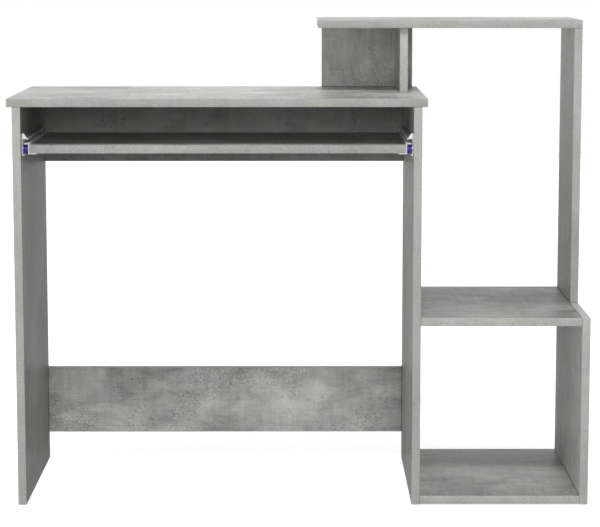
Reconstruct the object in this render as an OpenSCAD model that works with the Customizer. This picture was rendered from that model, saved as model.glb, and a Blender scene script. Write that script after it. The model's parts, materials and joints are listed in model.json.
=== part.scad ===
// Computer desk with a side tower, a small top niche and a keyboard tray on roller slides.
// The origin is on the floor, under the middle of the whole desk. X runs to the right along
// its length, Y runs from its front edge to its back and Z runs up.

/* [Overall] */
// Width from the desktop's left end to the tower's right side
overall_w = 1060; // [1000:5:1150]
// Depth of the desktop, the legs and the two lower shelves
depth = 400; // [380:5:480]
// Height of the desktop's upper face
desk_h = 750; // [720:1:780]
// Height of the top shelf's upper face
tower_h = 886; // [875:1:940]
// Thickness of every board
board_t = 15; // [15:0.5:18]
// Thickness of the band glued on the boards' open edges
band_t = 0.8; // [0.4:0.1:1.5]

/* [Desk] */
// Width of the desktop
desktop_w = 760; // [720:5:820]
// How far the desktop stands out past each leg
overhang = 10; // [4:1:20]
// Height of the rear apron and of the modesty panel
rail_h = 132; // [110:1:160]
// Height of the modesty panel's lower edge
modesty_foot = 57; // [40:1:300]

/* [Side tower] */
// Height of the middle shelf's upper face
mid_shelf_h = 350; // [300:1:450]
// Height of the bottom shelf's lower face
bottom_foot = 3; // [3:0.5:40]
// Depth of the top shelf and of the upper side panel
upper_d = 215; // [190:1:260]
// Width of the top shelf
top_shelf_w = 496; // [470:1:560]

/* [Top niche] */
// Width of the niche's back panel
niche_w = 178; // [160:1:200]
// Distance from the top shelf's left end to the back panel
niche_inset = 9; // [4:1:15]
// Distance from the divider's right face to the back panel's right end
divider_inset = 18; // [10:1:30]
// Depth of the divider, forward of the back panel
divider_d = 190; // [160:1:190]

/* [Keyboard tray] */
// Depth of the tray
tray_d = 300; // [290:1:300]
// Distance from the desktop's lower face down to the tray's upper face
tray_drop = 70.5; // [68:0.5:90]
// Distance from the legs' front edges back to the tray's front edge
tray_setback = 22; // [10:1:40]
// How far the tray pulls out
tray_travel = 225; // [180:1:230]
// Room for a slide between the tray and each leg
slide_gap = 12.5; // [12.5:0.5:13]

/* [Roller slides] */
// Length of the rails
rail_l = 300; // [300:1:320]
// How far the rails start ahead of the tray's front edge
rail_lead = 2; // [0:0.5:5]
// Thickness of the rails' sheet steel
steel_t = 1.2; // [1:0.1:1.3]
// Diameter of the rollers
roller_d = 17; // [15:0.5:17]
// Width of the front rollers
front_roller_w = 8.6; // [6:0.1:8.6]
// Width of the rear rollers
rear_roller_w = 6.6; // [6:0.1:6.6]
// Diameter of the rivets that the rollers turn on
axle_d = 5; // [4:0.5:5]
// Radial clearance of a roller on its rivet
axle_fit = 0.05; // [0.02:0.01:0.1]
// Clearance between a roller and the steel that runs over or under it
roller_play = 0.3; // [0.2:0.05:0.4]

/* [Fittings] */
// Diameter of the cam locks
cam_d = 14.9; // [14:0.1:14.9]
// Depth of the cam locks
cam_l = 12; // [11:0.5:12]
// Distance from a cam lock's centre to the joint that it pulls shut
cam_back = 34; // [30:1:34]
// Distance from a board's front or back edge to its cam locks
cam_edge = 50; // [40:1:60]
// Diameter of the wooden dowels
dowel_d = 8; // [6:1:8]
// Diameter of the floor glides
glide_d = 14; // [12:1:14]
// Height of the floor glides
glide_t = 2; // [1.5:0.5:3]

/* [Hidden] */

// Colours of the finishes
concrete_grey = "#a3a49f";
band_grey = "#adaea9";
slide_white = "#eeeeea";
roller_violet = "#aab0cf";
nylon_white = "#d9d9d4";
zinc = "#b9bab8";
beech = "#d3b183";
glide_brown = "#5b5048";

// Directions
right = [1, 0, 0];
left = [-1, 0, 0];
rear = [0, 1, 0];
up = [0, 0, 1];
down = [0, 0, -1];

// Extents of the desk and levels of its main boards
left_x = -overall_w / 2;
right_x = overall_w / 2;
front_y = -depth / 2;
back_y = depth / 2;
half_t = board_t / 2;
under_desk = desk_h - board_t;
under_top = tower_h - board_t;
bay_left = left_x + overhang + board_t;
bay_right = left_x + desktop_w - overhang - board_t;
tower_left = bay_right + board_t;
tower_right = right_x - board_t;
rear_mid_y = back_y - half_t;
upper_front = back_y - upper_d;
niche_left = right_x - top_shelf_w + niche_inset;
niche_right = niche_left + niche_w;
divider_x = niche_right - divider_inset - board_t;
divider_y = back_y - board_t - divider_d;
apron_z = under_desk - rail_h;
tray_z = under_desk - tray_drop - board_t;
tray_y = front_y + tray_setback;

// Every board as its low corner, its high corner and its banded sides, which are
// [left, right, front, back, bottom, top]
desktop_board = [
    [left_x, front_y, under_desk],
    [left_x + desktop_w, back_y, desk_h],
    [1, 1, 1, 1, 0, 0]
];
left_leg_board = [
    [bay_left - board_t, front_y, glide_t],
    [bay_left, back_y, under_desk],
    [0, 0, 1, 1, 1, 0]
];
centre_board = [
    [bay_right, front_y, glide_t],
    [tower_left, back_y, under_desk],
    [0, 0, 1, 1, 1, 0]
];
lower_side_board = [
    [tower_right, front_y, glide_t],
    [right_x, back_y, mid_shelf_h],
    [0, 0, 1, 1, 1, 1]
];
upper_side_board = [
    [tower_right, upper_front, mid_shelf_h],
    [right_x, back_y, under_top],
    [0, 0, 1, 1, 0, 0]
];
apron_board = [
    [bay_left, back_y - board_t, apron_z],
    [bay_right, back_y, under_desk],
    [0, 0, 0, 0, 1, 0]
];
modesty_board = [
    [bay_left, back_y - board_t, modesty_foot],
    [bay_right, back_y, modesty_foot + rail_h],
    [0, 0, 0, 0, 1, 1]
];
middle_shelf_board = [
    [tower_left, front_y, mid_shelf_h - board_t],
    [tower_right, back_y, mid_shelf_h],
    [0, 0, 1, 1, 0, 0]
];
bottom_shelf_board = [
    [tower_left, front_y, bottom_foot],
    [tower_right, back_y, bottom_foot + board_t],
    [0, 0, 1, 1, 0, 0]
];
top_shelf_board = [
    [right_x - top_shelf_w, upper_front, under_top],
    [right_x, back_y, tower_h],
    [1, 1, 1, 1, 0, 0]
];
niche_back_board = [
    [niche_left, back_y - board_t, desk_h],
    [niche_right, back_y, under_top],
    [1, 1, 0, 0, 0, 0]
];
divider_board = [
    [divider_x, divider_y, desk_h],
    [divider_x + board_t, back_y - board_t, under_top],
    [0, 0, 1, 0, 0, 0]
];
tray_board = [
    [bay_left + slide_gap, tray_y, tray_z],
    [bay_right - slide_gap, tray_y + tray_d, tray_z + board_t],
    [1, 1, 1, 1, 0, 0]
];

// Slide sections, with u measured inward from the leg's face
clear = 0.05;
cut = 1;
rail_front = tray_y - rail_lead;
rail_rear = rail_front + rail_l;
roller_r = roller_d / 2;
axle_r = axle_d / 2;
roller_u = 2.1;
wall_u = slide_gap - steel_t;
front_axle_in = 13;
rear_axle_in = 18;
front_roller_drop = 0.5;
ledge_drop = 9.6;
roof_room = 1.9;
end_room = 1.5;
front_axis_y = rail_front + front_axle_in;
front_axis_z = tray_z + roller_r - front_roller_drop;
flange_z = front_axis_z + roller_r + roller_play;
ledge_z = flange_z - ledge_drop;
rear_axis_y = rail_rear - rear_axle_in;
rear_axis_z = ledge_z + roller_play + roller_r;
roof_z = rear_axis_z + roller_r + roof_room;
ledge_w = 10.3;
ledge_lip = 2.2;
ledge_front = front_axis_y + roller_r + end_room;
roof_w = 8.5;
lip_w = 10;
lip_drop = 2;
lip_steel_u = 0.9;
lip_steel_z = 0.7;
bend_steel_u = 0.6;
tab_l = 30;
tab_drop = 3.9;
tab_z = tray_z - tab_drop;
tab_rise = 10;
tab_top_w = 4;
tab_corner = 1.5;
tab_top = roof_z + tab_rise;
curl_w = 4;
flange_u = 3;
flange_rear = rear_axis_y - roller_r - end_room;
under_tray_w = 15;
ear_r = 6.5;
stop_w = 6;
stop_trim = 1;
front_stop_drop = 3.3;

// Rivets, roller recesses and screws of the slides
collar_r = 4;
head_r = 4;
head_t = 0.9;
head_chamfer = 1;
rivet_gap = 0.1;
recess_r = 4.6;
recess_l = 1.3;
roller_chamfer = 0.6;
screw_r = 1.75;
screw_l = 12;
screw_head_r = 3.5;
rail_screw_head_t = 0.6;
tray_screw_head_t = 1.2;
slot_l = 4;
slot_w = 0.7;
slot_t = 0.4;
screw_steps = [42, 158, 266];
screw_ys = [for (step = screw_steps) rail_front + step];
rail_screw_up = 1;
rail_screw_z = rear_axis_z + rail_screw_up;
tray_screw_in = 9;
tray_screw_u = wall_u + tray_screw_in;

// Cam locks: the lock's centre, the way its head looks and the way its bolt runs
cam_bore_r = 3.6;
cam_bore_back = 4;
cam_slot_l = 8;
cam_slot_w = 1.6;
cam_slot_t = 2.2;
bolt_r = 3.4;
bolt_neck_r = 2;
bolt_hole_r = 4;
bolt_head_l = 3;
bolt_chamfer = 1;
bolt_head_end = -0.5;
bolt_neck_from = 1;
bolt_neck_to = 6;
bolt_shank_from = 8;
thread_r = 3;
thread_l = 11;
thread_tip_l = 2;
fit_y = back_y - cam_edge;
shelf_cam_shift = 20;
shelf_dowel_shift = 70;
shelf_cam_y = fit_y - shelf_cam_shift;
shelf_dowel_y = fit_y - shelf_dowel_shift;
niche_mid = (niche_left + niche_right) / 2;
niche_cam_edge = 40;
niche_cam_dx = niche_w / 2 - niche_cam_edge;
divider_cam_in = 45;
upper_mid_y = (upper_front + back_y) / 2;
upper_cam_dy = upper_d / 2 - cam_edge;
divider_mid = divider_x + half_t;
side_mid = tower_right + half_t;
leg_sides = [[bay_left - half_t, right], [bay_right + half_t, left]];
bay_ends = [[bay_left, left], [bay_right, right]];
tower_ends = [[tower_left, left], [tower_right, right]];
rail_mids = [apron_z + rail_h / 2, modesty_foot + rail_h / 2];
shelf_mids = [mid_shelf_h - half_t, bottom_foot + half_t];
niche_ends = [[desk_h, down], [under_top, up]];
side_ends = [[mid_shelf_h, down], [under_top, up]];
cam_sites = concat(
    [for (leg = leg_sides, y = [-fit_y, fit_y])
        [[leg[0], y, under_desk - cam_back], leg[1], up]],
    [for (end = bay_ends, z = rail_mids)
        [[end[0], rear_mid_y, z] - cam_back * end[1], rear, end[1]]],
    [for (end = tower_ends, y = [-shelf_cam_y, shelf_cam_y], z = shelf_mids)
        [[end[0], y, z] - cam_back * end[1], down, end[1]]],
    [for (end = side_ends, y = [upper_mid_y - upper_cam_dy, upper_mid_y + upper_cam_dy])
        [[side_mid, y, end[0]] - cam_back * end[1], left, end[1]]],
    [for (end = niche_ends, x = [niche_mid - niche_cam_dx, niche_mid + niche_cam_dx])
        [[x, rear_mid_y, end[0]] - cam_back * end[1], rear, end[1]]],
    [for (end = niche_ends)
        [[divider_mid, divider_y + divider_cam_in, end[0]] - cam_back * end[1], right, end[1]]]
);

// Dowels: the middle of the joint, a way across it and the way to the board that it enters
dowel_r = dowel_d / 2;
dowel_in = 18;
dowel_out = 10;
dowel_step = 32;
dowel_tip = 1;
rail_dowel_dz = 40;
apron_dowel_in = 150;
divider_dowel_in = 70;
dowel_sites = concat(
    [for (leg = leg_sides, y = [dowel_step - fit_y, fit_y - dowel_step])
        [[leg[0], y, under_desk], right, up]],
    [for (end = bay_ends, z = rail_mids, dz = [-rail_dowel_dz, rail_dowel_dz])
        [[end[0], rear_mid_y, z + dz], rear, end[1]]],
    [for (x = [bay_left + apron_dowel_in, bay_right - apron_dowel_in])
        [[x, rear_mid_y, under_desk], right, up]],
    [for (end = tower_ends, y = [-shelf_dowel_y, shelf_dowel_y], z = shelf_mids)
        [[end[0], y, z], rear, end[1]]],
    [for (end = side_ends)
        [[side_mid, upper_mid_y, end[0]], right, end[1]]],
    [for (end = niche_ends)
        [[niche_mid, rear_mid_y, end[0]], right, end[1]]],
    [for (end = niche_ends)
        [[divider_mid, back_y - divider_dowel_in, end[0]], right, end[1]]],
    [[[divider_mid, back_y - board_t, (desk_h + under_top) / 2], up, rear]]
);

// Floor glides, two under each upright board
glide_edge = 40;
glide_sites = [for (x = [bay_left - half_t, bay_right + half_t, side_mid], y = [-1, 1])
    [x, y * (back_y - glide_edge), 0]];
glide_chamfer = 1;
glide_hole_r = 1.1;
nail_r = 1;
nail_l = 14;
nail_tip_l = 2;
nail_head_r = 3;
nail_head_z = 0.2;
nail_head_room = 0.3;

function core_low(board) = board[0] + band_t * [board[2][0], board[2][2], board[2][4]];
function core_high(board) = board[1] - band_t * [board[2][1], board[2][3], board[2][5]];
function open_low(board) = [1 - board[2][0], 1 - board[2][2], 1 - board[2][4]];
function open_high(board) = [1 - board[2][1], 1 - board[2][3], 1 - board[2][5]];
// True where a point lies in a board or within reach of it
function near(point, board, reach) =
    min([for (i = [0:2]) min(point[i] - board[0][i], board[1][i] - point[i])]) > -reach;

module box(low, high) {
    translate(low) cube(high - low);
}

// Stands children at a point, with their X along one direction and their Z along another
module placed(point, along_x, along_z) {
    y = cross(along_z, along_x);
    multmatrix([
        [along_x[0], y[0], along_z[0], point[0]],
        [along_x[1], y[1], along_z[1], point[1]],
        [along_x[2], y[2], along_z[2], point[2]],
        [0, 0, 0, 1]
    ]) children();
}

// A cylinder along +X from its base
module rod_x(r, l) {
    rotate([0, 90, 0]) cylinder(r = r, h = l, $fn = 48);
}

// A turned shape about the X axis, from points given as [radius, distance along X]
module turned_x(points) {
    rotate([0, 90, 0]) rotate_extrude($fn = 64) polygon(points);
}

// A flat outline in X and Z, pushed along Y
module pushed_y(y_from, y_to) {
    translate([0, y_to, 0]) rotate([90, 0, 0]) linear_extrude(y_to - y_from) children();
}

// Slides are drawn for the left leg's face and mirrored onto the centre panel's
module on_left_leg() {
    translate([bay_left, 0, 0]) children();
}

module on_centre_panel() {
    translate([bay_right, 0, 0]) mirror([1, 0, 0]) children();
}

module on_both() {
    on_left_leg() children();
    on_centre_panel() children();
}

// The room that one cam lock and its bolt take in the two boards that they join
module cam_room() {
    translate([-cam_l + half_t - clear, 0, 0]) rod_x(cam_d / 2 + clear, cam_l + cut);
    cylinder(r = bolt_hole_r, h = cam_back, $fn = 48);
    cylinder(r = thread_r + clear, h = cam_back + thread_l + clear, $fn = 48);
}

module dowel_room() {
    translate([0, 0, -dowel_in - clear])
        cylinder(r = dowel_r + clear, h = dowel_in + dowel_out + 2 * clear, $fn = 48);
}

// Everything that is drilled in one board
module bores(board) {
    for (site = cam_sites)
        if (near(site[0], board, cam_back + thread_l + cut))
            placed(site[0], site[1], site[2]) cam_room();
    for (site = dowel_sites)
        if (near(site[0], board, dowel_in))
            placed(site[0], site[1], site[2]) dowel_room();
    for (site = glide_sites)
        if (near(site, board, glide_t + cut))
            translate(site) cylinder(r = nail_r + clear, h = nail_l + clear, $fn = 24);
}

// A board without its edge band
module core(board) {
    difference() {
        box(core_low(board), core_high(board));
        bores(board);
    }
}

// The band on a board's open edges
module edge_band(board) {
    color(band_grey) difference() {
        box(board[0], board[1]);
        box(core_low(board) - open_low(board), core_high(board) + open_high(board));
        bores(board);
    }
}

// A leg or the centre panel, which also take the screws of a slide
module slide_board(board) {
    color(concrete_grey) difference() {
        core(board);
        on_both() rail_screw_holes();
    }
}

module rail_screw_holes() {
    for (y = screw_ys)
        translate([-screw_l - clear, y, rail_screw_z])
            rod_x(screw_r + clear, screw_l + steel_t + cut);
}

module keyboard_tray() {
    color(concrete_grey) difference() {
        core(tray_board);
        on_both() tray_screw_holes();
    }
}

module tray_screw_holes() {
    for (y = screw_ys)
        translate([tray_screw_u, y, tray_z - steel_t - cut])
            cylinder(r = screw_r + clear, h = steel_t + cut + screw_l + clear, $fn = 48);
}

// The rail on the leg: a C channel that the rear roller runs in, with a tab at the front that
// drops to hold the fixed roller and rises to a sloping nose, a stop bent in at the rear and
// one lanced down at the front
module cabinet_rail() {
    color(slide_white) difference() {
        union() {
            pushed_y(rail_front, rail_rear) polygon([
                [0, ledge_z - steel_t],
                [ledge_w - steel_t, ledge_z - steel_t],
                [ledge_w - steel_t, ledge_z - ledge_lip - steel_t],
                [ledge_w, ledge_z - ledge_lip - steel_t],
                [ledge_w, ledge_z],
                [steel_t, ledge_z],
                [steel_t, roof_z],
                [roof_w, roof_z],
                [lip_w, roof_z - lip_drop],
                [lip_w + lip_steel_u, roof_z - lip_drop + lip_steel_z],
                [roof_w + bend_steel_u, roof_z + steel_t],
                [0, roof_z + steel_t]
            ]);
            pushed_y(rail_front, rail_front + tab_l) polygon([
                [0, tab_z],
                [curl_w, tab_z],
                [curl_w, tab_z + steel_t],
                [steel_t, tab_z + steel_t],
                [steel_t, ledge_z],
                [0, ledge_z]
            ]);
            box([0, rail_front, roof_z], [steel_t, rail_front + tab_l, tab_top - tab_corner]);
            pushed_y(rail_front, rail_front + steel_t) polygon([
                [0, roof_z],
                [roof_w, roof_z],
                [lip_w, roof_z - lip_drop],
                [lip_w + lip_steel_u, roof_z - lip_drop + lip_steel_z],
                [tab_top_w, tab_top],
                [tab_corner, tab_top],
                [0, tab_top - tab_corner]
            ]);
            rear_stop();
            front_stop();
        }
        box(
            [steel_t, rail_front - cut, ledge_z - ledge_lip - 2 * steel_t],
            [ledge_w + cut, ledge_front, ledge_z + clear]
        );
        translate([-cut, front_axis_y, front_axis_z]) rod_x(axle_r + clear, steel_t + 2 * cut);
        rail_screw_holes();
    }
}

module rear_stop() {
    stop_y = rear_axis_y + roller_r + roller_play;
    box(
        [steel_t / 2, stop_y, rear_axis_z - stop_w],
        [stop_w + steel_t, stop_y + steel_t, rear_axis_z + stop_w - stop_trim]
    );
}

module front_stop() {
    stop_z = roof_z - front_stop_drop;
    reach = sqrt(pow(roller_r, 2) - pow(stop_z - rear_axis_z, 2)) + roller_play;
    stop_y = rear_axis_y - tray_travel - reach;
    box(
        [roller_u, stop_y - steel_t, stop_z],
        [roller_u + stop_w, stop_y, roof_z + steel_t / 2]
    );
}

// The rail under the tray's edge: it rests on the front roller and carries the rear one
module tray_rail() {
    color(slide_white) difference() {
        union() {
            pushed_y(rail_front, rail_rear) polygon([
                [wall_u, tray_z - steel_t],
                [wall_u + under_tray_w, tray_z - steel_t],
                [wall_u + under_tray_w, tray_z],
                [slide_gap, tray_z],
                [slide_gap, flange_z + steel_t],
                [wall_u, flange_z + steel_t]
            ]);
            box(
                [flange_u, rail_front, flange_z],
                [wall_u + steel_t / 2, flange_rear, flange_z + steel_t]
            );
            translate([wall_u, rear_axis_y, rear_axis_z]) rod_x(ear_r, steel_t);
        }
        translate([wall_u - cut, rear_axis_y, rear_axis_z]) rod_x(axle_r + clear, steel_t + 2 * cut);
        tray_screw_holes();
    }
}

// A roller about the X axis, with a recess for its rivet's head at the far end
module roller(w) {
    turned_x([
        [axle_r + axle_fit, 0],
        [roller_r - roller_chamfer, 0],
        [roller_r, roller_chamfer],
        [roller_r, w - roller_chamfer],
        [roller_r - roller_chamfer, w],
        [recess_r, w],
        [recess_r, w - recess_l],
        [axle_r + axle_fit, w - recess_l]
    ]);
}

module front_roller() {
    color(roller_violet) translate([roller_u, front_axis_y, front_axis_z]) roller(front_roller_w);
}

module rear_roller() {
    color(nylon_white)
        translate([roller_u + rear_roller_w, rear_axis_y, rear_axis_z])
            mirror([1, 0, 0]) roller(rear_roller_w);
}

// The rivet set flush in the cabinet rail, whose collar spaces the roller off
module cabinet_rivet() {
    head_u = roller_u + front_roller_w - recess_l + rivet_gap;
    translate([0, front_axis_y, front_axis_z]) turned_x([
        [0, 0],
        [axle_r, 0],
        [axle_r, steel_t],
        [collar_r, steel_t],
        [collar_r, roller_u - rivet_gap],
        [axle_r, roller_u - rivet_gap],
        [axle_r, head_u],
        [head_r, head_u],
        [head_r, head_u + head_t / 2],
        [head_r - head_chamfer, head_u + head_t],
        [0, head_u + head_t]
    ]);
}

// The rivet set flush in the tray rail's ear, with its head in the roller's recess
module tray_rivet() {
    head_u = roller_u + recess_l - rivet_gap;
    translate([0, rear_axis_y, rear_axis_z]) turned_x([
        [0, head_u - head_t],
        [head_r - head_chamfer, head_u - head_t],
        [head_r, head_u - head_t / 2],
        [head_r, head_u],
        [axle_r, head_u],
        [axle_r, roller_u + rear_roller_w + rivet_gap],
        [collar_r, roller_u + rear_roller_w + rivet_gap],
        [collar_r, wall_u],
        [axle_r, wall_u],
        [axle_r, slide_gap],
        [0, slide_gap]
    ]);
}

// A screw along X, with its head towards +X and its shank from zero back
module screw(head_t) {
    difference() {
        turned_x([
            [0, -screw_l],
            [screw_r, -screw_l + 2 * screw_r],
            [screw_r, 0],
            [screw_head_r, 0],
            [screw_head_r, head_t / 2],
            [screw_head_r - head_chamfer, head_t],
            [0, head_t]
        ]);
        for (turn = [0, 90])
            rotate([turn, 0, 0])
                translate([head_t - slot_t / 2, -slot_l / 2, -slot_w / 2])
                    cube([slot_t, slot_l, slot_w]);
    }
}

// A cam lock at its own centre, with its head at +X and its bolt's way in at +Z
module cam_lock() {
    difference() {
        translate([half_t - cam_l, 0, 0]) rod_x(cam_d / 2, cam_l);
        translate([0, 0, -cam_bore_back]) cylinder(r = cam_bore_r, h = cam_d, $fn = 48);
        for (turn = [45, 135])
            rotate([turn, 0, 0])
                translate([half_t - cam_slot_t, -cam_slot_l / 2, -cam_slot_w / 2])
                    cube([cam_slot_t + cut, cam_slot_l, cam_slot_w]);
    }
}

// A cam bolt along +Z: head and neck in the cam lock, shank in the edge, thread in the face
module cam_bolt() {
    rotate_extrude($fn = 64) polygon([
        [0, -bolt_head_l],
        [bolt_r - bolt_chamfer, -bolt_head_l],
        [bolt_r, bolt_chamfer - bolt_head_l],
        [bolt_r, bolt_head_end],
        [bolt_neck_r, bolt_neck_from],
        [bolt_neck_r, bolt_neck_to],
        [bolt_r, bolt_shank_from],
        [bolt_r, cam_back],
        [thread_r, cam_back],
        [thread_r, cam_back + thread_l - thread_tip_l],
        [thread_r - bolt_chamfer, cam_back + thread_l],
        [0, cam_back + thread_l]
    ]);
}

module wood_dowel() {
    rotate_extrude($fn = 48) polygon([
        [0, -dowel_in],
        [dowel_r - dowel_tip, -dowel_in],
        [dowel_r, dowel_tip - dowel_in],
        [dowel_r, dowel_out - dowel_tip],
        [dowel_r - dowel_tip, dowel_out],
        [0, dowel_out]
    ]);
}

module floor_glide() {
    rotate_extrude($fn = 64) polygon([
        [nail_head_r + nail_head_room, 0],
        [glide_d / 2 - glide_chamfer, 0],
        [glide_d / 2, glide_t / 2],
        [glide_d / 2, glide_t],
        [glide_hole_r, glide_t],
        [glide_hole_r, glide_t / 2],
        [nail_head_r + nail_head_room, glide_t / 2]
    ]);
}

module glide_nail() {
    rotate_extrude($fn = 48) polygon([
        [0, nail_head_z],
        [nail_head_r, nail_head_z],
        [nail_head_r, glide_t / 2],
        [nail_r, glide_t / 2],
        [nail_r, nail_l - nail_tip_l],
        [0, nail_l]
    ]);
}

module cabinet_rail_rivets() {
    color(zinc) on_both() cabinet_rivet();
}

module tray_rail_rivets() {
    color(zinc) on_both() tray_rivet();
}

module cabinet_rail_screws() {
    color(zinc) on_both()
        for (y = screw_ys)
            translate([steel_t, y, rail_screw_z]) screw(rail_screw_head_t);
}

module tray_rail_screws() {
    color(zinc) on_both()
        for (y = screw_ys)
            placed([tray_screw_u, y, tray_z - steel_t], down, right) screw(tray_screw_head_t);
}

module cam_locks() {
    color(zinc)
        for (site = cam_sites)
            placed(site[0], site[1], site[2]) cam_lock();
}

module cam_bolts() {
    color(zinc)
        for (site = cam_sites)
            placed(site[0], site[1], site[2]) cam_bolt();
}

module wood_dowels() {
    color(beech)
        for (site = dowel_sites)
            placed(site[0], site[1], site[2]) wood_dowel();
}

module floor_glides() {
    color(glide_brown)
        for (site = glide_sites)
            translate(site) floor_glide();
}

module glide_nails() {
    color(zinc)
        for (site = glide_sites)
            translate(site) glide_nail();
}

color(concrete_grey) core(desktop_board);  // desktop
edge_band(desktop_board);  // desktop_edge_band
slide_board(left_leg_board);  // left_leg_panel
edge_band(left_leg_board);  // left_leg_edge_band
slide_board(centre_board);  // centre_panel
edge_band(centre_board);  // centre_panel_edge_band
color(concrete_grey) core(lower_side_board);  // lower_side_panel
edge_band(lower_side_board);  // lower_side_edge_band
color(concrete_grey) core(upper_side_board);  // upper_side_panel
edge_band(upper_side_board);  // upper_side_edge_band
color(concrete_grey) core(apron_board);  // rear_apron
edge_band(apron_board);  // rear_apron_edge_band
color(concrete_grey) core(modesty_board);  // modesty_panel
edge_band(modesty_board);  // modesty_edge_band
color(concrete_grey) core(middle_shelf_board);  // middle_shelf
edge_band(middle_shelf_board);  // middle_shelf_edge_band
color(concrete_grey) core(bottom_shelf_board);  // bottom_shelf
edge_band(bottom_shelf_board);  // bottom_shelf_edge_band
color(concrete_grey) core(top_shelf_board);  // top_shelf
edge_band(top_shelf_board);  // top_shelf_edge_band
color(concrete_grey) core(niche_back_board);  // niche_back_panel
edge_band(niche_back_board);  // niche_back_edge_band
color(concrete_grey) core(divider_board);  // niche_divider
edge_band(divider_board);  // niche_divider_edge_band
keyboard_tray();
edge_band(tray_board);  // keyboard_tray_edge_band
on_left_leg() cabinet_rail();  // left_cabinet_rail
on_centre_panel() cabinet_rail();  // right_cabinet_rail
on_left_leg() tray_rail();  // left_tray_rail
on_centre_panel() tray_rail();  // right_tray_rail
on_left_leg() front_roller();  // left_front_roller
on_centre_panel() front_roller();  // right_front_roller
on_left_leg() rear_roller();  // left_rear_roller
on_centre_panel() rear_roller();  // right_rear_roller
cabinet_rail_rivets();
tray_rail_rivets();
cabinet_rail_screws();
tray_rail_screws();
cam_locks();
cam_bolts();
wood_dowels();
floor_glides();
glide_nails();
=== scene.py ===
import json
from math import radians

import bmesh
import bpy
from mathutils import Matrix, Vector


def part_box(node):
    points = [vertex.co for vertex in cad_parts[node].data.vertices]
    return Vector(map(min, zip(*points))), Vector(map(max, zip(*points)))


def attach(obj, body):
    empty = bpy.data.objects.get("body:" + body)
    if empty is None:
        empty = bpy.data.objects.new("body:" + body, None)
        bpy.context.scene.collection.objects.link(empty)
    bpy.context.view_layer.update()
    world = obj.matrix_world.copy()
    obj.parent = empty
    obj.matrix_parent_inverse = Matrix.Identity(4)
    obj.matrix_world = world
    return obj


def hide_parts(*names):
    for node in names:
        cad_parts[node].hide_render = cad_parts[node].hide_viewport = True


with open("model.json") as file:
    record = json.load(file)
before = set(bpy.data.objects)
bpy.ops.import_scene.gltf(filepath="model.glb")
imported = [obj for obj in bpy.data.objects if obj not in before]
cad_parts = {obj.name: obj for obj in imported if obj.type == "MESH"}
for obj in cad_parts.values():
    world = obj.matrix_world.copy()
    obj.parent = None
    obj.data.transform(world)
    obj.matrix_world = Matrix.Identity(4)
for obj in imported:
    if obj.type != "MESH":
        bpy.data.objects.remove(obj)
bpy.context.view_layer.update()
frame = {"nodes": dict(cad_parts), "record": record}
nodes = frame["nodes"]
bodyOf = {
    node: body
    for body, names in frame["record"]["behaviour"]["bodies"].items()
    for node in names
}
mm = 0.001
away = 9.0  # farther off than any side of the desk

# camera, lights and room
camera = {
    "place": (-0.0107, -4.2094, 0.9977),
    "down": 7.767,  # degrees below level
    "turn": -0.143,  # degrees to the left
    "lens": 133.56,
    "reach": 60,
}
studio = {
    "aim": (0.0, 0.0, 0.42),
    "sky": 0.28,  # what the object sees all round
    "backdrop": 1.0,  # what the camera and the gloss see
    "floorSize": 14.0,
    "floorTone": 0.62,
    "floorRoughness": 0.9,
    "floorSpecular": 0.1,
    "floorLift": 0.75,  # glow that only the camera sees
}
lights = {
    # name: (kind, place, size across or spread in degrees, size up, strength)
    "key": ("SUN", (0.0, -6.30, 8.60), 8.0, None, 1.62),
    "front": ("AREA", (0.0, -4.4, 1.6), 3.2, 2.0, 30),
    "top": ("AREA", (0.0, 0.1, 3.6), 3.2, 2.6, 26),
    "fillLeft": ("AREA", (-3.2, -1.8, 0.5), 2.0, 1.0, 17),
    "fillRight": ("AREA", (3.2, -1.8, 1.6), 2.0, 2.0, 2.5),
}


def addCamera():
    data = bpy.data.cameras.new("camera")
    data.lens = camera["lens"]
    data.clip_end = camera["reach"]
    eye = bpy.data.objects.new("camera", data)
    eye.location = camera["place"]
    eye.rotation_euler = (radians(90 - camera["down"]), 0, radians(camera["turn"]))
    bpy.context.scene.collection.objects.link(eye)
    bpy.context.scene.camera = eye


def addLight(name, kind, place, across, high, strength):
    data = bpy.data.lights.new(name, kind)
    data.energy = strength
    if kind == "SUN":
        data.angle = radians(across)
    else:
        data.shape = "RECTANGLE"
        data.size = across
        data.size_y = high
    lamp = bpy.data.objects.new(name, data)
    lamp.location = place
    way = Vector(studio["aim"]) - Vector(place)
    lamp.rotation_euler = way.to_track_quat("-Z", "Y").to_euler()
    bpy.context.scene.collection.objects.link(lamp)


def addSky():
    world = bpy.data.worlds.new("studio")
    bpy.context.scene.world = world
    world.use_nodes = True
    tree = world.node_tree
    tree.nodes.clear()
    out = tree.nodes.new("ShaderNodeOutputWorld")
    path = tree.nodes.new("ShaderNodeLightPath")
    mix = tree.nodes.new("ShaderNodeMixShader")
    tree.links.new(path.outputs["Is Diffuse Ray"], mix.inputs["Fac"])
    for socket, strength in ((mix.inputs[1], studio["backdrop"]), (mix.inputs[2], studio["sky"])):
        glow = tree.nodes.new("ShaderNodeBackground")
        glow.inputs["Color"].default_value = (1, 1, 1, 1)
        glow.inputs["Strength"].default_value = strength
        tree.links.new(glow.outputs[0], socket)
    tree.links.new(mix.outputs[0], out.inputs["Surface"])
    bpy.context.scene.view_settings.view_transform = "Standard"


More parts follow.
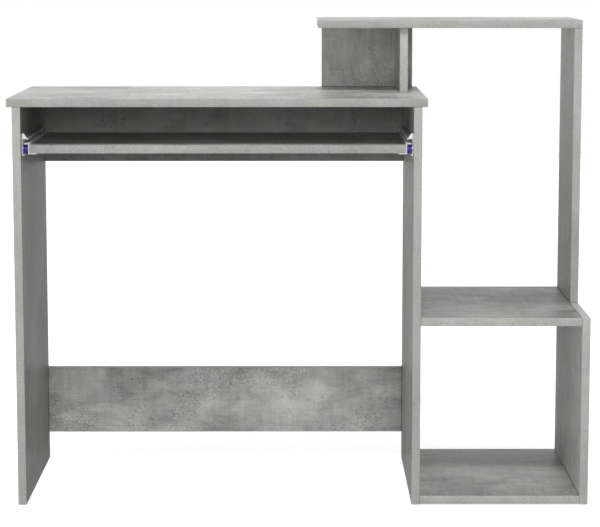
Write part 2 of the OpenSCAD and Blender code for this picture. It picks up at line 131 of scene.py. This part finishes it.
def addFloor():
    shape = bmesh.new()
    bmesh.ops.create_grid(shape, x_segments=1, y_segments=1, size=studio["floorSize"] / 2)
    mesh = bpy.data.meshes.new("studioFloor")
    shape.to_mesh(mesh)
    shape.free()
    floor = bpy.data.objects.new("studioFloor", mesh)
    bpy.context.scene.collection.objects.link(floor)
    paint = bpy.data.materials.new("studioFloor")
    paint.use_nodes = True
    tree = paint.node_tree
    shader = tree.nodes["Principled BSDF"]
    shader.inputs["Base Color"].default_value = (studio["floorTone"],) * 3 + (1,)
    shader.inputs["Roughness"].default_value = studio["floorRoughness"]
    shader.inputs["Specular IOR Level"].default_value = studio["floorSpecular"]
    lift = tree.nodes.new("ShaderNodeEmission")
    lift.inputs["Strength"].default_value = studio["floorLift"]
    both = tree.nodes.new("ShaderNodeAddShader")
    path = tree.nodes.new("ShaderNodeLightPath")
    mix = tree.nodes.new("ShaderNodeMixShader")
    tree.links.new(shader.outputs[0], both.inputs[0])
    tree.links.new(lift.outputs[0], both.inputs[1])
    tree.links.new(path.outputs["Is Camera Ray"], mix.inputs["Fac"])
    tree.links.new(shader.outputs[0], mix.inputs[1])
    tree.links.new(both.outputs[0], mix.inputs[2])
    tree.links.new(mix.outputs[0], tree.nodes["Material Output"].inputs["Surface"])
    mesh.materials.append(paint)


addCamera()
addSky()
addFloor()
for name, values in lights.items():
    addLight(name, *values)
print("studio set")


# short ways to lay nodes
def plug(tree, source, socket):
    if isinstance(source, (int, float, tuple)):
        socket.default_value = source
    else:
        tree.links.new(source, socket)


def mathNode(tree, operation, *values):
    node = tree.nodes.new("ShaderNodeMath")
    node.operation = operation
    for value, socket in zip(values, node.inputs):
        plug(tree, value, socket)
    return node.outputs[0]


def vectorNode(tree, operation, *values):
    node = tree.nodes.new("ShaderNodeVectorMath")
    node.operation = operation
    for value, socket in zip(values, node.inputs):
        plug(tree, value, socket)
    return node.outputs[0]


def noiseNode(tree, vector, scale, detail, roughness, distortion=0.0):
    node = tree.nodes.new("ShaderNodeTexNoise")
    for label, value in (
        ("Vector", vector),
        ("Scale", scale),
        ("Detail", detail),
        ("Roughness", roughness),
        ("Distortion", distortion),
    ):
        plug(tree, value, node.inputs[label])
    return node.outputs["Fac"]


def cellNode(tree, vector, scale):
    node = tree.nodes.new("ShaderNodeTexVoronoi")
    plug(tree, vector, node.inputs["Vector"])
    plug(tree, scale, node.inputs["Scale"])
    pick = tree.nodes.new("ShaderNodeSeparateColor")
    plug(tree, node.outputs["Color"], pick.inputs[0])
    return node.outputs["Distance"], pick.outputs[0]


def easeNode(tree, value, low, high, toLow=0.0, toHigh=1.0):
    node = tree.nodes.new("ShaderNodeMapRange")
    node.interpolation_type = "SMOOTHSTEP"
    for label, number in (
        ("Value", value),
        ("From Min", low),
        ("From Max", high),
        ("To Min", toLow),
        ("To Max", toHigh),
    ):
        plug(tree, number, node.inputs[label])
    return node.outputs["Result"]


def sumNode(tree, parts):
    total = None
    for value, weight in parts:
        centred = mathNode(tree, "SUBTRACT", value, 0.5)
        share = mathNode(tree, "MULTIPLY", centred, weight)
        total = share if total is None else mathNode(tree, "ADD", total, share)
    return total


def newGroup(name, inputs, outputs):
    group = bpy.data.node_groups.new(name, "ShaderNodeTree")
    for label, value in inputs.items():
        kind = "NodeSocketVector" if isinstance(value, tuple) else "NodeSocketFloat"
        socket = group.interface.new_socket(label, in_out="INPUT", socket_type=kind)
        socket.default_value = value
    for label, kind in outputs.items():
        group.interface.new_socket(label, in_out="OUTPUT", socket_type=kind)
    return group, group.nodes.new("NodeGroupInput").outputs, group.nodes.new("NodeGroupOutput").inputs


def useGroup(tree, group, **values):
    node = tree.nodes.new("ShaderNodeGroup")
    node.node_tree = group
    for label, value in values.items():
        plug(tree, value, node.inputs[label])
    return node.outputs


# the decor foil: cloudy cast concrete with trowel streaks, pores and rough patches
decor = {
    # noises: waves in a metre, detail, roughness, distortion
    "clouds": (4.2, 3.0, 0.55, 0.3),
    "blotches": (19.0, 6.0, 0.60, 0.6),
    "streaks": (210.0, 3.0, 0.6),
    "wipes": (105.0, 3.0, 0.6),
    "speckle": (330.0, 2.0, 0.6),
    "patches": (7.0, 3.0, 0.6, 0.5),
    "relief": (264.0, 1.0, 0.5, 0.4),
    "poreField": (9.8, 4.0, 0.65, 0.4),
    "drift": (16.0, 3.0, 0.6),
    # how the noises are drawn out along the board
    "blotchStretch": (0.7, 1.25, 1.25),
    "streakStretch": (0.10, 1.0, 1.0),
    "wipeStretch": (1.0, 0.10, 0.10),
    # where a noise starts and ends to count
    "patchEdge": (0.52, 0.62),
    "fieldEdge": (0.48, 0.62),
    "driftEdge": (0.38, 0.62),
    # cells in a metre, a pore's floor and rim in its cell, share of the cells left whole
    "smallPores": (210.0, (0.18, 0.42), (0.50, 0.60)),
    "largePores": (55.0, (0.05, 0.13), (0.70, 0.78)),
    "poreDark": 0.5,
    # share of each noise in the tone, in the relief and in the gloss
    "cloudTone": 1.2,
    "blotchTone": 1.15,
    "streakTone": 0.32,
    "wipeTone": 0.30,
    "speckleTone": 0.6,
    "streakHeight": 0.25,
    "speckleHeight": 0.4,
    "blotchGloss": 0.25,
    "speckleGloss": 0.12,
    "poreGloss": 0.25,
    "roughness": 0.40,
    "tintCool": (1.0, 1.0, 0.99),
    "tintWarm": (0.985, 1.0, 0.89),
}


def poreMask(tree, place, cells, depth, share):
    gap, pick = cellNode(tree, place, cells)
    return easeNode(tree, gap, *depth, 1.0, 0.0), easeNode(tree, pick, *share)


def makeConcrete():
    tree, given, out = newGroup(
        "castConcrete",
        {
            "Vector": (0.0, 0.0, 0.0),
            "Tone": 0.36,
            "Clouds": 1.0,
            "Speckle": 1.0,
            "Relief": 1.0,
            "Pores": 1.0,
            "Warmth": 0.5,
        },
        {"Color": "NodeSocketColor", "Roughness": "NodeSocketFloat", "Height": "NodeSocketFloat"},
    )
    place = given["Vector"]
    clouds = noiseNode(tree, place, *decor["clouds"])
    across = vectorNode(tree, "MULTIPLY", place, decor["blotchStretch"])
    blotches = noiseNode(tree, across, *decor["blotches"])
    along = vectorNode(tree, "MULTIPLY", place, decor["streakStretch"])
    streaks = noiseNode(tree, along, *decor["streaks"])
    upright = vectorNode(tree, "MULTIPLY", place, decor["wipeStretch"])
    wipes = noiseNode(tree, upright, *decor["wipes"])
    broad = sumNode(
        tree,
        [
            (clouds, decor["cloudTone"]),
            (blotches, decor["blotchTone"]),
            (streaks, decor["streakTone"]),
            (wipes, decor["wipeTone"]),
        ],
    )
    broad = mathNode(tree, "MULTIPLY", broad, given["Clouds"])

    speckles = noiseNode(tree, place, *decor["speckle"])
    patch = easeNode(tree, noiseNode(tree, place, *decor["patches"]), *decor["patchEdge"])
    relief = noiseNode(tree, place, *decor["relief"])
    rough = mathNode(tree, "MULTIPLY", mathNode(tree, "SUBTRACT", relief, 0.5), patch)
    rough = mathNode(tree, "MULTIPLY", rough, given["Relief"])
    fine = mathNode(tree, "MULTIPLY", sumNode(tree, [(speckles, decor["speckleTone"])]), given["Speckle"])
    fine = mathNode(tree, "ADD", fine, rough)

    field = easeNode(tree, noiseNode(tree, place, *decor["poreField"]), *decor["fieldEdge"])
    pit, chosen = poreMask(tree, place, *decor["smallPores"])
    small = mathNode(tree, "MULTIPLY", mathNode(tree, "MULTIPLY", pit, field), chosen)
    large = mathNode(tree, "MULTIPLY", *poreMask(tree, place, *decor["largePores"]))
    pores = mathNode(tree, "MULTIPLY", mathNode(tree, "MAXIMUM", small, large), given["Pores"])

    shade = mathNode(tree, "ADD", mathNode(tree, "ADD", broad, fine), 1.0)
    pitted = mathNode(tree, "SUBTRACT", 1.0, mathNode(tree, "MULTIPLY", pores, decor["poreDark"]))
    toneAndShade = mathNode(tree, "MULTIPLY", mathNode(tree, "MULTIPLY", shade, pitted), given["Tone"])

    tint = tree.nodes.new("ShaderNodeMix")
    tint.data_type = "VECTOR"
    drift = easeNode(tree, noiseNode(tree, place, *decor["drift"]), *decor["driftEdge"])
    plug(tree, mathNode(tree, "MULTIPLY", drift, given["Warmth"]), tint.inputs["Factor"])
    plug(tree, decor["tintCool"], tint.inputs[4])
    plug(tree, decor["tintWarm"], tint.inputs[5])
    plug(tree, vectorNode(tree, "MULTIPLY", tint.outputs[1], toneAndShade), out["Color"])

    height = sumNode(tree, [(streaks, decor["streakHeight"]), (speckles, decor["speckleHeight"])])
    height = mathNode(tree, "ADD", height, rough)
    plug(tree, mathNode(tree, "SUBTRACT", height, pores), out["Height"])
    gloss = sumNode(tree, [(blotches, decor["blotchGloss"]), (speckles, decor["speckleGloss"])])
    gloss = mathNode(tree, "ADD", gloss, decor["roughness"])
    pitGloss = mathNode(tree, "MULTIPLY", pores, decor["poreGloss"])
    plug(tree, mathNode(tree, "ADD", gloss, pitGloss), out["Roughness"])
    return tree


# a dark hairline along the sides where one board meets another
def makeJointLine():
    tree, given, out = newGroup(
        "jointLine",
        {"Vector": (0.0, 0.0, 0.0), "Low": (-away,) * 3, "High": (away,) * 3, "Width": mm},
        {"Mask": "NodeSocketFloat"},
    )
    nearest = vectorNode(
        tree,
        "MINIMUM",
        vectorNode(tree, "SUBTRACT", given["Vector"], given["Low"]),
        vectorNode(tree, "SUBTRACT", given["High"], given["Vector"]),
    )
    parts = tree.nodes.new("ShaderNodeSeparateXYZ")
    plug(tree, nearest, parts.inputs[0])
    gap = mathNode(tree, "MINIMUM", parts.outputs[1], parts.outputs[2])
    gap = mathNode(tree, "MINIMUM", parts.outputs[0], gap)
    share = mathNode(tree, "DIVIDE", gap, given["Width"])
    darkUpTo = 0.4  # share of the line's width
    plug(tree, easeNode(tree, share, darkUpTo, 1.0, 1.0, 0.0), out["Mask"])
    return tree


castConcrete = makeConcrete()
jointLine = makeJointLine()


def newFinish(name, **constants):
    finish = bpy.data.materials.new(name)
    finish.use_nodes = True
    tree = finish.node_tree
    shader = tree.nodes["Principled BSDF"]
    for label, value in constants.items():
        shader.inputs[label].default_value = value
    return finish, tree, shader


def objectPlace(tree, shift, turn):
    coords = tree.nodes.new("ShaderNodeTexCoord")
    mapping = tree.nodes.new("ShaderNodeMapping")
    mapping.inputs["Location"].default_value = shift
    mapping.inputs["Rotation"].default_value = turn
    plug(tree, coords.outputs["Object"], mapping.inputs["Vector"])
    return coords.outputs["Object"], mapping.outputs["Vector"]


def addBump(tree, shader, height, depth, strength):
    bump = tree.nodes.new("ShaderNodeBump")
    bump.inputs["Strength"].default_value = strength
    bump.inputs["Distance"].default_value = depth
    plug(tree, height, bump.inputs["Height"])
    plug(tree, bump.outputs["Normal"], shader.inputs["Normal"])


# the pattern runs along each board's grain and starts somewhere else on every board
grainTurn = {"x": (0, 0, 0), "z": (0, radians(90), 0)}
foil = {
    "bumpDepth": 0.25 * mm,
    "bump": 0.35,
    "seam": 1.6 * mm,
    "seamDark": 0.75,
    "warmth": 0.35,
}
boards = {
    # node: grain, pattern shift, tone, edge tone, cloudiness, pores, gloss,
    # sides that meet other boards (small letter the low side, capital the high side)
    # painted shade and painted light: the tone and edge tone differ board to board over the foil's own tone,
    # set lower on boards the lamps light more and higher on boards that sit in shade
    "desktop": ("x", (3.41, 0.57, 1.93), 0.395, 0.405, 1.6, 0.5, 0.38, ""),
    "left_leg_panel": ("z", (5.2, 2.3, 0.6), 0.26, 0.41, 1.0, 0.7, 0.26, "Z"),
    "centre_panel": ("z", (1.4, 6.1, 3.9), 0.345, 0.415, 1.0, 0.7, 0.26, "Z"),
    "lower_side_panel": ("z", (7.7, 1.9, 2.2), 0.57, 0.43, 1.0, 0.8, 0.26, ""),
    "upper_side_panel": ("z", (2.8, 4.4, 5.3), 0.37, 0.45, 1.0, 0.7, 0.26, "zZ"),
    "rear_apron": ("x", (6.6, 3.2, 1.1), 0.28, 0.415, 0.8, 0.8, 0.26, "xXZ"),
    "modesty_panel": ("x", (4.3, 5.5, 2.6), 0.42, 0.415, 1.2, 1.0, 0.26, "xX"),
    # painted shade: the middle and bottom shelves' patterns start where a dark cloud lies at the rear left,
    # standing in for the shade at the back of the shelves
    "middle_shelf": ("x", (9.13, 1.41, 4.79), 0.228, 0.43, 1.8, 0.4, 0.16, "xX"),
    "bottom_shelf": ("x", (1.12, 7.64, 6.86), 0.325, 0.435, 1.6, 0.4, 0.20, "xX"),
    "top_shelf": ("x", (9.4, 2.7, 0.3), 0.335, 0.46, 1.5, 0.4, 0.30, ""),
    "niche_back_panel": ("z", (1.9, 8.8, 3.3), 0.535, 0.44, 1.0, 0.8, 0.26, "zZ"),
    "niche_divider": ("z", (3.7, 1.2, 7.9), 0.36, 0.50, 0.9, 0.6, 0.26, "zZ"),
    "keyboard_tray": ("x", (5.9, 6.6, 8.5), 0.43, 0.41, 1.0, 0.5, 0.26, ""),
}
bandOf = {
    "desktop": "desktop_edge_band",
    "left_leg_panel": "left_leg_edge_band",
    "centre_panel": "centre_panel_edge_band",
    "lower_side_panel": "lower_side_edge_band",
    "upper_side_panel": "upper_side_edge_band",
    "rear_apron": "rear_apron_edge_band",
    "modesty_panel": "modesty_edge_band",
    "middle_shelf": "middle_shelf_edge_band",
    "bottom_shelf": "bottom_shelf_edge_band",
    "top_shelf": "top_shelf_edge_band",
    "niche_back_panel": "niche_back_edge_band",
    "niche_divider": "niche_divider_edge_band",
    "keyboard_tray": "keyboard_tray_edge_band",
}


def camel(name):
    first, *rest = name.split("_")
    return first + "".join(word.capitalize() for word in rest)


def joinedBox(one, other):
    low = Vector(map(min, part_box(one)[0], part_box(other)[0]))
    high = Vector(map(max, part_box(one)[1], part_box(other)[1]))
    return low, high


def foilFinish(name, style, gloss, low, high, grain, shift, meets, **look):
    finish, tree, shader = newFinish(name, **{"Specular IOR Level": gloss})
    raw, shifted = objectPlace(tree, shift, grainTurn[grain])
    pattern = useGroup(tree, castConcrete, Vector=shifted, **look)
    lowEnd = tuple(low[i] if "xyz"[i] in meets else -away for i in range(3))
    highEnd = tuple(high[i] if "XYZ"[i] in meets else away for i in range(3))
    line = useGroup(tree, jointLine, Vector=raw, Low=lowEnd, High=highEnd, Width=style["seam"])
    dark = mathNode(tree, "SUBTRACT", 1.0, mathNode(tree, "MULTIPLY", line["Mask"], style["seamDark"]))
    plug(tree, vectorNode(tree, "MULTIPLY", pattern["Color"], dark), shader.inputs["Base Color"])
    plug(tree, pattern["Roughness"], shader.inputs["Roughness"])
    addBump(tree, shader, pattern["Height"], style["bumpDepth"], style["bump"])
    return finish


def dress(piece, finish):
    piece.data.materials.clear()
    piece.data.materials.append(finish)


# each board's foil takes its tone, with its painted shade and painted light, from the table
for node, (grain, shift, toneAndShade, _, clouds, pores, gloss, meets) in boards.items():
    low, high = joinedBox(node, bandOf[node])
    finish = foilFinish(
        camel(node) + "Foil",
        foil,
        gloss,
        low,
        high,
        grain,
        shift,
        meets,
        Tone=toneAndShade,
        Clouds=clouds,
        Speckle=clouds,
        Relief=clouds,
        Pores=pores,
        Warmth=foil["warmth"],
    )
    dress(nodes[node], finish)
print("boards dressed")


# pieces made from the frame's own shapes, with their corners eased
meshing = {
    "weld": 0.001 * mm,
    "closeWeld": 0.01 * mm,
    "flatBelow": radians(0.5),
    "smoothBelow": radians(35),
}


def newPiece(name, shape, body, finish, replaced):
    bmesh.ops.recalc_face_normals(shape, faces=shape.faces)
    mesh = bpy.data.meshes.new(name)
    shape.to_mesh(mesh)
    shape.free()
    for face in mesh.polygons:
        face.use_smooth = True
    mesh.set_sharp_from_angle(angle=meshing["smoothBelow"])
    piece = bpy.data.objects.new(name, mesh)
    bpy.context.scene.collection.objects.link(piece)
    mesh.materials.append(finish)
    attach(piece, body)
    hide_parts(*replaced)
    return piece


def mergedCopy(node):
    shape = bmesh.new()
    shape.from_mesh(nodes[node].data)
    bmesh.ops.remove_doubles(shape, verts=shape.verts, dist=meshing["weld"])
    bmesh.ops.dissolve_limit(
        shape, angle_limit=meshing["flatBelow"], verts=shape.verts, edges=shape.edges
    )
    return shape


def ease(shape, edges, width, segments):
    bmesh.ops.bevel(
        shape,
        geom=edges,
        offset=width,
        offset_type="OFFSET",
        segments=segments,
        profile=0.5,
        affect="EDGES",
        material=-1,
        clamp_overlap=True,
    )
    bmesh.ops.remove_doubles(shape, verts=shape.verts, dist=meshing["weld"])


def outerEdges(shape, low, high):
    found = []
    for edge in shape.edges:
        touching = 0
        for axis in range(3):
            for side in (low, high):
                if all(abs(end.co[axis] - side[axis]) < meshing["closeWeld"] for end in edge.verts):
                    touching += 1
        if touching == 2:
            found.append(edge)
    return found


band = {
    "specular": 0.35,
    "bumpDepth": 0.2 * mm,
    "bump": 0.3,
    "seam": 1.1 * mm,
    "seamDark": 0.62,
    "grain": "z",
    "round": 0.45 * mm,
    "steps": 3,
    "shift": 0.37,
    "look": {"Clouds": 0.38, "Speckle": 1.15, "Relief": 0.25, "Pores": 0.15, "Warmth": 0.8},
}
# each band's edge tone carries painted shade and painted light as well
for node, (_, shift, _, toneAndShade, _, _, _, meets) in boards.items():
    name = camel(bandOf[node])
    low, high = joinedBox(node, bandOf[node])
    shape = mergedCopy(bandOf[node])
    ease(shape, outerEdges(shape, low, high), band["round"], band["steps"])
    elsewhere = tuple(part + band["shift"] for part in shift)
    finish = foilFinish(
        name + "Foil",
        band,
        band["specular"],
        low,
        high,
        band["grain"],
        elsewhere,
        meets,
        Tone=toneAndShade,
        **band["look"],
    )
    newPiece(name, shape, bodyOf[node], finish, [bandOf[node]])
print("edge bands made")


# powder coat, zinc, nylon, beech and polythene
grainy = {
    # detail, roughness and share of the fine and of the wide noise
    "fine": (3.0, 0.6, 1.0),
    "wide": (3.0, 0.55, 1.4),
    "wideScale": 0.08,  # of the fine one's
    "bumpDepth": 0.05 * mm,
}


def makeSpeckle():
    tree, given, out = newGroup(
        "speckle",
        {"Vector": (0.0, 0.0, 0.0), "Scale": 800.0, "Stretch": (1.0, 1.0, 1.0), "Amount": 0.1},
        {"Value": "NodeSocketFloat", "Height": "NodeSocketFloat"},
    )
    place = vectorNode(tree, "MULTIPLY", given["Vector"], given["Stretch"])
    wideScale = mathNode(tree, "MULTIPLY", given["Scale"], grainy["wideScale"])
    *fineLook, fineShare = grainy["fine"]
    *wideLook, wideShare = grainy["wide"]
    fine = noiseNode(tree, place, given["Scale"], *fineLook)
    wide = noiseNode(tree, place, wideScale, *wideLook)
    swing = mathNode(tree, "MULTIPLY", sumNode(tree, [(fine, fineShare), (wide, wideShare)]), given["Amount"])
    plug(tree, mathNode(tree, "ADD", swing, 1.0), out["Value"])
    plug(tree, fine, out["Height"])
    return tree


speckle = makeSpeckle()
plainFinishes = {
    # name: colour, metallic, roughness, specular, specks in a metre, stretch, amount, bump
    "powderCoat": ((0.93, 0.93, 0.93), 0.0, 0.38, 0.5, 1500.0, (1, 1, 1), 0.10, 0.25),
    "zincPlate": ((0.62, 0.62, 0.60), 1.0, 0.34, 0.5, 900.0, (1, 0.2, 1), 0.35, 0.10),
    "dieCast": ((0.27, 0.27, 0.26), 1.0, 0.42, 0.5, 1100.0, (1, 1, 1), 0.30, 0.20),
    "violetNylon": ((0.055, 0.028, 0.360), 0.0, 0.26, 0.5, 1200.0, (1, 1, 1), 0.22, 0.10),
    "whiteNylon": ((0.66, 0.66, 0.64), 0.0, 0.40, 0.5, 1200.0, (1, 1, 1), 0.15, 0.10),
    "beech": ((0.50, 0.31, 0.15), 0.0, 0.62, 0.3, 700.0, (1, 1, 0.1), 0.60, 0.30),
    "polythene": ((0.045, 0.030, 0.020), 0.0, 0.50, 0.4, 900.0, (1, 1, 1), 0.30, 0.20),
}


def plainFinish(name, colour, metallic, roughness, specular, scale, stretch, amount, bump):
    finish, tree, shader = newFinish(name, **{"Metallic": metallic, "Specular IOR Level": specular})
    place = tree.nodes.new("ShaderNodeTexCoord").outputs["Object"]
    look = useGroup(tree, speckle, Vector=place, Scale=scale, Stretch=stretch, Amount=amount)
    plug(tree, vectorNode(tree, "MULTIPLY", colour, look["Value"]), shader.inputs["Base Color"])
    plug(tree, mathNode(tree, "MULTIPLY", look["Value"], roughness), shader.inputs["Roughness"])
    addBump(tree, shader, look["Height"], grainy["bumpDepth"], bump)
    return finish


finishes = {name: plainFinish(name, *values) for name, values in plainFinishes.items()}
keptAsTheyAre = {"cam_bolts": "zincPlate", "glide_nails": "zincPlate", "wood_dowels": "beech"}
for node, name in keptAsTheyAre.items():
    dress(nodes[node], finishes[name])


# rails, screws and cam locks keep their shape and lose their hard corners
softened = {
    # node: finish, slot, rounding, least corner in degrees
    "left_cabinet_rail": ("powderCoat", "slide_steel", 0.22 * mm, 25),
    "right_cabinet_rail": ("powderCoat", "slide_steel", 0.22 * mm, 25),
    "left_tray_rail": ("powderCoat", "slide_steel", 0.22 * mm, 25),
    "right_tray_rail": ("powderCoat", "slide_steel", 0.22 * mm, 25),
    "cabinet_rail_screws": ("zincPlate", "zinc", 0.08 * mm, 40),
    "tray_rail_screws": ("zincPlate", "zinc", 0.08 * mm, 40),
    "cam_locks": ("dieCast", "zinc", 0.25 * mm, 40),
}
for node, (look, slot, width, corner) in softened.items():
    shape = mergedCopy(node)
    sharp = [edge for edge in shape.edges if edge.calc_face_angle(0) > radians(corner)]
    ease(shape, sharp, width, 2)
    newPiece(camel(node), shape, bodyOf[node], finishes[look], [node])
print("rails and fittings eased")


# turned pieces, about an axis along X or up
def turned(shape, outline, centre, along, steps=64):
    axis = Vector((1, 0, 0)) if along == "x" else Vector((0, 0, 1))
    ring = []
    for radius, reach in outline:
        spot = Vector((reach, 0, radius)) if along == "x" else Vector((radius, 0, reach))
        ring.append(shape.verts.new(spot * mm + Vector(centre)))
    loop = [shape.edges.new((ring[i - 1], ring[i])) for i in range(len(ring))]
    bmesh.ops.spin(
        shape,
        geom=ring + loop,
        cent=centre,
        axis=axis,
        angle=radians(360),
        steps=steps,
        use_merge=True,
    )


def closeUp(shape):
    bmesh.ops.remove_doubles(shape, verts=shape.verts, dist=meshing["closeWeld"])
    bmesh.ops.dissolve_degenerate(shape, edges=shape.edges, dist=meshing["closeWeld"])


roller = {
    # radius and distance along the axis in mm, from the rail's side, up to the tread's end
    "near": [
        (2.55, 0.0), (4.2, 0.0), (4.45, 0.3), (6.2, 0.3), (6.5, 0.0), (7.75, 0.0), (8.15, 0.12),
        (8.4, 0.38), (8.5, 0.75),
    ],
    # the same, from the far side back
    "far": [
        (8.5, 0.75), (8.4, 0.38), (8.15, 0.12), (7.75, 0.0), (5.2, 0.0), (4.85, 0.1), (4.7, 0.35),
        (4.6, 1.3), (2.55, 1.3),
    ],
    "looks": {"front": "violetNylon", "rear": "whiteNylon"},
}
for side in ("left", "right"):
    for end in ("front", "rear"):
        node = f"{side}_{end}_roller"
        low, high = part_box(node)
        centre = (low + high) / 2
        width = (high.x - low.x) / mm
        flip = (side == "right") != (end == "rear")  # which way the recess looks
        start = high.x if flip else low.x
        way = -1 if flip else 1
        outline = [(radius, reach * way) for radius, reach in roller["near"]]
        outline += [(radius, (width - reach) * way) for radius, reach in roller["far"]]
        shape = bmesh.new()
        turned(shape, outline, (start, centre.y, centre.z), "x")
        closeUp(shape)
        look = roller["looks"][end]
        newPiece(camel(node), shape, bodyOf[node], finishes[look], [node])
print("rollers turned")

rivets = {
    # node: outline in mm from the leg's face, roller it carries
    "cabinet_rail_rivets": (
        "front",
        [
            (0, 0), (2.5, 0), (2.5, 1.2), (3.8, 1.2), (4.0, 1.35), (4.0, 1.85), (3.85, 2.0), (2.5, 2.0),
            (2.5, 9.5), (3.8, 9.5), (4.0, 9.62), (3.98, 9.85), (3.6, 10.12), (2.9, 10.3), (1.6, 10.39),
            (0, 10.4),
        ],
    ),
    "tray_rail_rivets": (
        "rear",
        [
            (0, 2.4), (1.6, 2.41), (2.9, 2.5), (3.6, 2.68), (3.98, 2.95), (4.0, 3.18), (3.8, 3.3), (2.5, 3.3),
            (2.5, 8.8), (3.85, 8.8), (4.0, 8.95), (4.0, 11.15), (3.85, 11.3), (2.5, 11.3), (2.5, 12.5),
            (0, 12.5),
        ],
    ),
}
legFaces = {"left": (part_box("left_leg_panel")[1].x, 1), "right": (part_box("centre_panel")[0].x, -1)}
for node, (end, outline) in rivets.items():
    shape = bmesh.new()
    for side, (face, way) in legFaces.items():
        low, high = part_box(f"{side}_{end}_roller")
        centre = (low + high) / 2
        turned(shape, [(r, reach * way) for r, reach in outline], (face, centre.y, centre.z), "x", 48)
    closeUp(shape)
    newPiece(camel(node), shape, bodyOf[node], finishes["zincPlate"], [node])

glide = {
    "outline": [
        (3.3, 0.15), (3.45, 0.0), (5.6, 0.0), (6.3, 0.12), (6.8, 0.5), (7.0, 1.0), (7.0, 2.0),
        (1.1, 2.0), (1.1, 1.0), (3.3, 1.0),
    ],
    "inFromEdge": 40 * mm,
}
shape = bmesh.new()
for node in ("left_leg_panel", "centre_panel", "lower_side_panel"):
    low, high = joinedBox(node, bandOf[node])
    for y in (low.y + glide["inFromEdge"], high.y - glide["inFromEdge"]):
        turned(shape, glide["outline"], ((low.x + high.x) / 2, y, 0), "z", 48)
closeUp(shape)
newPiece("floorGlides", shape, bodyOf["floor_glides"], finishes["polythene"], ["floor_glides"])
print("rivets and glides turned")
